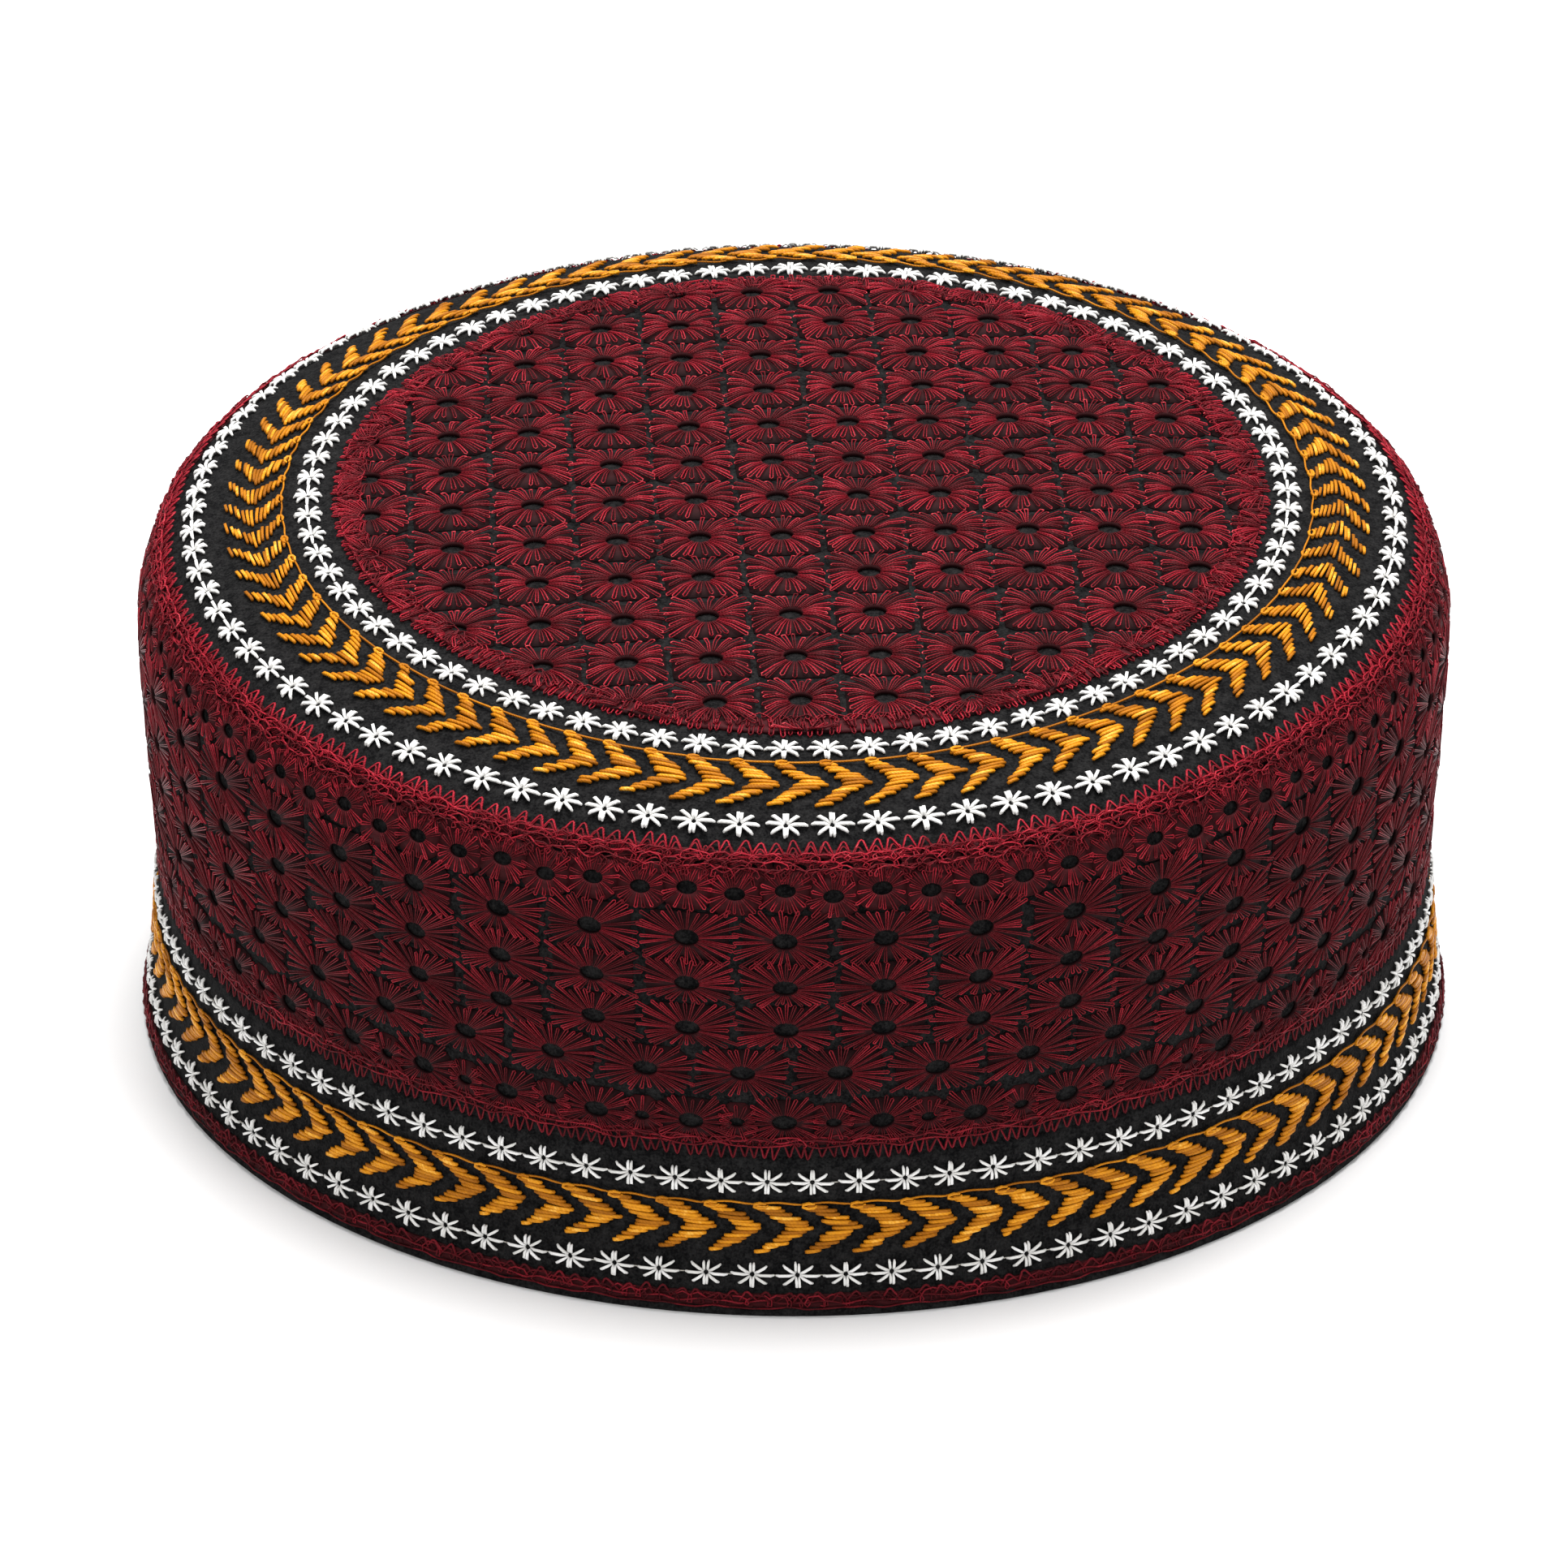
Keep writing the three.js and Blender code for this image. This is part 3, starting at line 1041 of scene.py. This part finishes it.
@dataclass
class Edge:
    """Maroon stitches laid along one ring, gathered in one piece."""

    ring: Ring
    rng: np.random.Generator
    work: ThreadWork = field(default_factory=ThreadWork)
    thread: float = 0.14
    segments: int = 480

    def _uneven(self, count: int, size: float) -> Array:
        """Return a small difference for each of several stitches."""
        return self.rng.normal(0, size, (count, 1))

    def comb(
        self, count: int, reach: Pair, width: float, lift: float, tone: float,
        slant: float = 0.0,
    ) -> None:
        """Add a row of hairpin loops square to the ring.

        Args:
            count: Number of loops.
            reach: Distances from the ring of the loops' feet and of their tips.
            width: Width of a loop at its tip.
            lift: Height of the tips off the cloth.
            tone: Middle brightness of the threads.
            slant: How far a tip leads its foot along the ring.
        """
        angle = TURN * spread(count, 0.22, self.rng)[:, None]
        foot = reach[0] + self._uneven(count, 0.2)
        tip = reach[1] + self._uneven(count, 0.16)
        lean = slant + self._uneven(count, 0.2)
        half = 0.5 * width * self.rng.uniform(0.75, 1.25, (count, 1))
        across = half * np.array([-1.4, -1.0, -1.0, 0.0, 1.0, 1.0, 1.4])
        across = across + lean * mirrored(0.0, 0.5, 1.0, 1.0)
        out = foot + (tip - foot) * mirrored(0.0, 0.5, 0.9, 1.0)
        lifts = lift * mirrored(0.5, 1.15, 1.1, 0.9) + self._uneven(count, 0.05)
        laid = self.ring.lay(angle + across / self.ring.radius, out, lifts)
        self.work.add_threads(laid, self.thread, tone + self.rng.uniform(-0.2, 0.2, (count, 1)))

    def zigzag(self, count: int, reach: Pair, lift: float, tone: float) -> None:
        """Add a zigzag whose rounded peaks point to the first reach."""
        pitch = TURN * self.ring.radius / count
        angle = TURN * spread(count, 0.12, self.rng)[:, None]
        share = np.array([0.0, 0.22, 0.40, 0.5, 0.60, 0.78, 1.0])
        rise = mirrored(0.0, 0.5, 0.93, 1.0)
        slip = 0.12 * rise * self._uneven(count, 1)
        across = (share - 0.5 + slip) * pitch * self.rng.uniform(0.9, 1.15, (count, 1))
        peak = reach[0] + self._uneven(count, 0.16)
        out = reach[1] + (peak - reach[1]) * rise
        lifts = lift + self._uneven(count, 0.06) + 0.12 * np.sin(np.pi * share)
        laid = self.ring.lay(angle + across / self.ring.radius, out, lifts)
        tones = tone + self.rng.uniform(-0.16, 0.12, (count, 1))
        self.work.add_threads(laid, 1.25 * self.thread, tones)

    def running(self, pitch: float, out: float, wave: float, lift: float, tone: float) -> None:
        """Add a wavy thread that runs round the ring, in lengths that meet end to end."""
        count = int(TURN * self.ring.radius / pitch)
        share = np.linspace(-0.02, 1.02, 6)
        angle = TURN * (np.arange(count)[:, None] + share) / count
        phase = self.rng.uniform(0, TURN)
        waves = wave * np.sin(angle * count / 2.3 + phase) + 0.5 * wave * np.sin(angle * count / 1.37)
        lifts = lift + 0.12 * np.sin(angle * count * 1.1)
        laid = self.ring.lay(angle, out + waves, lifts)
        self.work.add_threads(laid, self.thread, tone + self.rng.uniform(-0.2, 0.15, (count, 1)))

    def scribble(self, pitch: float, reach: Pair, lift: float, tone: float) -> None:
        """Add loose overlapping loops between two distances from the ring."""
        count = int(TURN * self.ring.radius / pitch)
        share = np.linspace(0.0, 1.0, 8)
        angle = TURN * (np.arange(count)[:, None] + 1.5 * share) / count
        middle = 0.5 * (reach[0] + reach[1])
        half = 0.5 * (reach[1] - reach[0])
        start = self.rng.uniform(0, TURN, (count, 1))
        swing = start + share * TURN * self.rng.uniform(0.8, 1.6, (count, 1))
        out = middle + half * np.sin(swing) * self.rng.uniform(0.6, 1.05, (count, 1))
        across = 0.45 * pitch * np.cos(swing)
        lifts = lift + self.rng.uniform(-0.2, 0.2, (count, 1)) + 0.1 * np.sin(3 * swing)
        laid = self.ring.lay(angle + across / self.ring.radius, out, lifts)
        tones = tone + self.rng.uniform(-0.25, 0.25, (count, 1))
        self.work.add_threads(laid, self.thread * 0.9, tones)

    def underlay(self, reach: Pair, lift: float, tone: float) -> None:
        """Add a layer of thread under the stitches, uneven as crossed threads are, kept dark as painted
        shade beneath them and darker towards its feet.
        """
        angle = TURN * np.arange(self.segments) / self.segments
        out = np.concatenate([[reach[0]], np.linspace(*reach, 5), [reach[1]]])[:, None]
        out = out + self.rng.normal(0, 0.12, (len(out), self.segments))
        lifts = lift + self.rng.normal(0, 0.07, out.shape)
        lifts[[0, -1]] = FOOT_LIFT
        points = self.ring.lay(angle, out, lifts)[0]
        # Painted shade: the layer's tone is low all over and falls to half at its two feet.
        self.work.add_hoops(points[None], tone * mirrored(0.5, 0.8, 1.2, 1.0))

    def build(self, name: str, replaced: str = "") -> None:
        """Make the piece."""
        self.work.build(name, MAROON, replaced)


@dataclass
class Edging:
    """Maroon zigzags, loops and running threads along the edges of the embroidery."""

    form: CapForm
    seed: int = 37

    def build(self) -> None:
        """Build the edgings of the crown field, the shoulder, the side's foot and the rim."""
        self._crown_edge()
        self._shoulder_edge()
        self._foot_edge()
        self._rim_strip()

    def _edge(self, ring: Ring, place: int) -> Edge:
        """Start an edging on a ring, with random draws of its own."""
        return Edge(ring, np.random.default_rng(self.seed + place))

    def _crown_edge(self) -> None:
        """Build the comb of loops round the crown field."""
        edge = self._edge(Ring.on_crown(self.form, 66.0, FIELD_CENTRE, CROWN_PUSH), 0)
        edge.underlay((-2.2, 1.0), lift=0.4, tone=0.14)
        edge.comb(300, (-0.9, 1.9), width=0.5, lift=0.45, tone=0.62)
        edge.comb(280, (-2.4, 0.4), width=0.45, lift=0.75, tone=0.45, slant=0.3)
        edge.scribble(1.9, (-2.6, -0.2), lift=0.85, tone=0.45)
        edge.build("crown_field_edging")

    def _shoulder_edge(self) -> None:
        """Build the zigzag, its running threads and the tangle on the shoulder."""
        edge = self._edge(Ring.on_crown(self.form, 90.0, push=1.0), 1)
        edge.underlay((0.9, 2.0), lift=0.35, tone=0.16)
        edge.zigzag(256, (-0.3, 1.7), lift=0.5, tone=0.74)
        edge.zigzag(256, (0.5, 2.2), lift=0.5, tone=0.5)
        for out in (1.7, 2.2):
            edge.running(2.9, out, wave=0.24, lift=0.75, tone=0.66)
        edge.running(2.6, 3.4, wave=0.4, lift=0.8, tone=0.55)
        edge.scribble(1.9, (1.2, 2.6), lift=0.85, tone=0.62)
        edge.scribble(1.9, (2.2, 3.6), lift=0.85, tone=0.52)
        edge.scribble(1.9, (3.2, 4.7), lift=0.8, tone=0.42)
        edge.build("shoulder_edging")

    def _foot_edge(self) -> None:
        """Build the two wavy threads and hanging loops at the side's foot."""
        edge = self._edge(Ring.on_side(self.form, 28.2), 2)
        edge.underlay((-1.4, 0.6), lift=0.25, tone=0.1)
        edge.zigzag(390, (2.6, 0.2), lift=0.4, tone=0.42)
        edge.scribble(2.4, (-1.2, 0.9), lift=0.5, tone=0.4)
        edge.running(3.4, -0.3, wave=0.22, lift=0.6, tone=0.48)
        edge.running(4.2, 0.5, wave=0.3, lift=0.65, tone=0.48)
        edge.build("side_foot_edging")

    def _rim_strip(self) -> None:
        """Build the scribbled strip above the rim."""
        edge = self._edge(Ring.on_side(self.form, 2.6), 3)
        edge.underlay((-1.0, 1.1), lift=0.2, tone=0.1)
        edge.zigzag(250, (-1.5, 0.0), lift=0.45, tone=0.36)
        edge.scribble(1.9, (-1.2, 1.0), lift=0.5, tone=0.34)
        edge.running(3.3, 0.1, wave=0.2, lift=0.6, tone=0.38)
        edge.running(3.9, 1.1, wave=0.14, lift=0.45, tone=0.34)
        edge.build("rim_edging_threads", "rim_edging")


@dataclass
class ChevronRing:
    """Gold satin chevrons joined by a running thread.

    Left and right are a chevron's two edges, as pairs of a share of the way across the ring and a
    share of the pitch round it.
    """

    name: str
    replaced: str
    ring: Ring
    breadth: float
    count: int
    left: tuple[Pair, ...]
    right: tuple[Pair, ...]
    start: float
    apex_share: float = 0.48
    stitches: int = 13
    slope: float = 0.35
    thread: float = 0.31
    thread_width: float = 0.8
    running_thread: float = 0.16
    knot_thread: float = 0.24
    seed: int = 51

    def build(self) -> None:
        """Build the stitches and their running thread."""
        rng = np.random.default_rng(self.seed)
        work = ThreadWork()
        shape = (self.count, self.stitches, 1)
        share = np.linspace(0.03, 0.97, self.stitches)[:, None] + rng.normal(0, 0.008, shape)
        low = np.interp(share, *zip(*self.left)) + rng.normal(0, 0.04, shape)
        high = np.interp(share, *zip(*self.right)) + rng.normal(0, 0.04, shape)
        slope = self.slope * np.tanh((self.apex_share - share) * 14) / self.breadth
        part = np.array([0.0, 0.12, 0.5, 0.88, 1.0])
        across = low + (high - low) * part
        down = share + slope * (part - 0.5) + rng.normal(0, 0.006, shape)
        out = self.thread_width + down * (self.breadth - self.thread_width)
        lifts = mirrored(0.28, 0.46, 0.54) + rng.normal(0, 0.05, shape)
        pitch = TURN * self._radius_at(0.5 * self.breadth) / self.count
        angle = self._starts()[..., None] + across * pitch / self._radius_at(out)
        # Painted light: each stitch is lighter over its raised middle and darker at its ends, where it
        # dives into the cloth.
        tones = rng.uniform(0.28, 0.86, shape) * mirrored(0.75, 1.0, 1.15)
        work.add_threads(self.ring.lay(angle, out, lifts), self.thread, tones, sides=4, end=0.92)
        self._add_running(work, rng)
        work.build(self.name, GOLD, self.replaced)

    def _starts(self) -> Array:
        """Return the angles at which the chevrons start, of shape (count, 1)."""
        return self.start + TURN * np.arange(self.count)[:, None] / self.count

    def _radius_at(self, out: Array | float) -> Array:
        """Return the radius at distances across the ring."""
        opening = float(self.ring.profile.read(np.array([self.ring.line]))[3][0])
        return self.ring.radius + opening * out

    def _add_running(self, work: ThreadWork, rng: np.random.Generator) -> None:
        """Add the running thread and the small knot where each chevron starts."""
        share = np.linspace(-0.02, 1.02, 8)
        angle = self.start + TURN * (np.arange(self.count)[:, None] + share) / self.count
        out = 0.45 + 0.1 * np.cos(TURN * share) + rng.normal(0, 0.04, (self.count, 1))
        laid = self.ring.lay(angle, out, 0.45 + 0.12 * np.cos(TURN * share))
        work.add_threads(laid, self.running_thread, rng.uniform(0.3, 0.6, (self.count, 1)), sides=4)
        turn = np.linspace(0.0, 1.75 * math.pi, 7)
        across = 0.17 + 0.15 * np.cos(turn) + rng.normal(0, 0.01, (self.count, 1))
        pitch = TURN * self.ring.radius / self.count
        angle = self._starts() + across * pitch / self.ring.radius
        laid = self.ring.lay(angle, 0.75 + 0.42 * np.sin(turn), 0.62)
        work.add_threads(laid, self.knot_thread, rng.uniform(0.45, 0.85, (self.count, 1)), sides=4)


CROWN_LEFT = ((0.0, 0.0), (0.48, 0.53), (1.0, -0.14))
CROWN_RIGHT = ((0.0, 0.36), (0.22, 0.76), (0.48, 1.18), (0.75, 0.64), (1.0, 0.18))
BAND_LEFT = ((0.0, 0.02), (0.48, 0.68), (1.0, 0.06))
BAND_RIGHT = ((0.0, 0.45), (0.22, 0.90), (0.48, 1.25), (0.75, 0.88), (1.0, 0.34))


@dataclass
class StarRing:
    """White eight-rayed stars set close together round a ring."""

    name: str
    ring: Ring
    count: int
    start: float
    width: float
    height: float
    thread: float
    seed: int
    joined: bool = False
    doubling: float = 0.2
    hole: float = 0.42
    joining_thread: float = 0.085

    def _rays(self) -> tuple[Array, Array]:
        """Return the rays' tips and their shifts along the ring, as the upright rays are doubled."""
        half_width, half_height = self.width / 2, self.height / 2
        ways = [(side, up) for side in (1, -1) for up in (1, -1)]
        level = [(half_width, 0.0, 0.0), (-half_width, 0.0, 0.0)]
        slanted = [(side * 0.68 * half_width, up * 0.76 * half_height, 0.0) for side, up in ways]
        upright = [(0.0, up * half_height, side * self.doubling) for side, up in ways]
        rays = np.array(level + slanted + upright)
        return rays[:, :2], rays[:, 2]

    def build(self) -> None:
        """Build the stars and the thin thread between them."""
        rng = np.random.default_rng(self.seed)
        work = ThreadWork()
        tips, shifts = self._rays()
        shape = (self.count, len(tips), 1)
        tip = tips * rng.uniform(0.93, 1.05, shape)
        tip = tip + rng.normal(0, 0.035, shape) * np.stack([-tip[..., 1], tip[..., 0]], axis=-1)
        root = tip / np.linalg.norm(tip, axis=-1, keepdims=True) * self.hole
        part = np.array([0.0, 0.3, 0.82, 1.0])[:, None]
        places = root[:, :, None] + (tip - root)[:, :, None] * part
        places[..., 0] += shifts[:, None]
        lifts = np.array([0.1, 0.5, 0.5, 0.2]) + rng.normal(0, 0.04, shape)
        angles = self.start + TURN * spread(self.count, 0.02, rng)
        angle = angles[:, None, None] + places[..., 0] / self.ring.radius
        laid = self.ring.lay(angle, -places[..., 1], lifts)
        work.add_threads(laid, self.thread, rng.uniform(0.55, 1.0, shape), sides=4, flatness=0.8)
        if self.joined:
            self._join(work, angles)
        work.build(self.name, WHITE)

    def _join(self, work: ThreadWork, angles: Array) -> None:
        """Add the thin thread between neighbouring stars."""
        step = TURN / self.count
        reach = self.width / 2 / self.ring.radius
        part = np.linspace(0.0, 1.0, 4)
        joins = angles[:, None] + reach * 0.9 + (step - 1.8 * reach) * part
        laid = self.ring.lay(joins, 0.04 * np.sin(np.pi * part), 0.14)
        work.add_threads(laid, self.joining_thread, 0.15, sides=4)


@dataclass
class Studio:
    """Plain pale floor, soft lights and the photograph's camera."""

    lens: float = 155.66
    camera_place: Triple = (0.0, -0.89301, 0.49503)
    right: Triple = (1.0, 0.00114, -0.00089)
    up: Triple = (0.00026, 0.46001, 0.88792)
    forward: Triple = (-0.00142, 0.88792, -0.46)
    aim: Triple = (0.0, 0.0, 0.05)
    sensor: float = 36.0
    floor_size: float = 8.0
    sky: float = 0.42

    def build(self) -> None:
        """Build the floor, the lights and the camera."""
        self._floor()
        self._lights()
        self._camera()

    def _floor(self) -> None:
        """Build the floor just under the rim."""
        bpy.ops.object.select_all(action="DESELECT")
        bpy.ops.mesh.primitive_plane_add(size=self.floor_size, location=(0, 0, 0))
        floor = bpy.context.object
        floor.name = "studio_floor"
        floor.data.materials.append(FloorFinish().build())

    def _area(self, name: str, place: Triple, size: float, power: float) -> None:
        """Add a square lamp that faces the cap."""
        lamp = bpy.data.lights.new(name, "AREA")
        lamp.size = size
        lamp.energy = power
        holder = bpy.data.objects.new(name, lamp)
        bpy.context.scene.collection.objects.link(holder)
        holder.location = place
        facing = Vector(self.aim) - Vector(place)
        holder.rotation_euler = facing.to_track_quat("-Z", "Y").to_euler()

    def _lights(self) -> None:
        """Add the soft lamps and the pale surroundings."""
        self._area("overhead", (0.05, 0.20, 1.2), 0.7, 25.0)
        self._area("front_left", (-0.8, -1.1, 1.0), 0.5, 7.0)
        self._area("front_right", (0.9, -0.9, 0.9), 0.5, 5.0)
        world = bpy.data.worlds.new("studio")
        world.use_nodes = True
        background = world.node_tree.nodes["Background"]
        background.inputs["Color"].default_value = (1.0, 1.0, 1.0, 1.0)
        background.inputs["Strength"].default_value = self.sky
        bpy.context.scene.world = world
        bpy.context.scene.view_settings.view_transform = "Standard"

    def _camera(self) -> None:
        """Add the camera where the photograph was taken from."""
        data = bpy.data.cameras.new("camera")
        data.sensor_width = self.sensor
        data.lens = self.lens
        data.clip_start = 0.05
        camera = bpy.data.objects.new("camera", data)
        bpy.context.scene.collection.objects.link(camera)
        turn = Matrix((self.right, self.up, tuple(-part for part in self.forward))).transposed()
        camera.matrix_world = Matrix.Translation(self.camera_place) @ turn.to_4x4()
        bpy.context.scene.camera = camera


def check_sizes(form: CapForm) -> None:
    """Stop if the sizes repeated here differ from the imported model's."""
    low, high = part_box("crown_panel")
    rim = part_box("lower_band")[1]
    widest = max(high[0], -low[0]) / MM
    assert abs(widest - form.crown_radius) < 0.5, f"crown radius is {widest:.2f} mm in the model"
    assert abs(rim[0] / MM - form.rim_radius) < 0.5, f"rim radius is {rim[0] / MM:.2f} mm in the model"


def build_cap(form: CapForm) -> None:
    """Build every piece of the cap."""
    ClothBody(form, FeltFinish()).build()
    CrownField(form).build()
    SideField(form).build()
    Edging(form).build()
    ChevronRing(
        "crown_chevron_stitches", "crown_chevrons", Ring.on_crown(form, 74.2, (0.5, -1.3), CROWN_PUSH),
        breadth=8.8, count=78, left=CROWN_LEFT, right=CROWN_RIGHT, start=FRONT + 0.0393, thread=0.28,
    ).build()
    ChevronRing(
        "band_chevron_stitches", "band_chevrons", Ring.on_side(form, 18.7),
        breadth=8.4, count=89, left=BAND_LEFT, right=BAND_RIGHT, start=FRONT + 0.0107,
    ).build()
    inner = Ring.on_crown(form, 71.0, (0.6, -1.8), CROWN_PUSH)
    outer = Ring.on_crown(form, 87.2, push=2.0)
    upper = Ring.on_side(form, 21.6)
    lower = Ring.on_side(form, 6.6)
    StarRing("crown_inner_stars", inner, 77, FRONT - 0.026, 5.4, 4.0, 0.3, 71).build()
    StarRing("crown_outer_stars", outer, 88, FRONT - 0.0125, 5.7, 3.8, 0.3, 72).build()
    StarRing("band_upper_stars", upper, 94, FRONT + 0.0275, 5.9, 3.8, 0.25, 73, joined=True).build()
    StarRing("band_lower_stars", lower, 94, FRONT + 0.0065, 5.9, 3.8, 0.25, 74, joined=True).build()


def main() -> None:
    """Load the frame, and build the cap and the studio."""
    logging.basicConfig(level=logging.INFO, format="%(name)s: %(message)s")
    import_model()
    form = CapForm()
    check_sizes(form)
    build_cap(form)
    Studio().build()


if __name__ == "__main__":
    main()
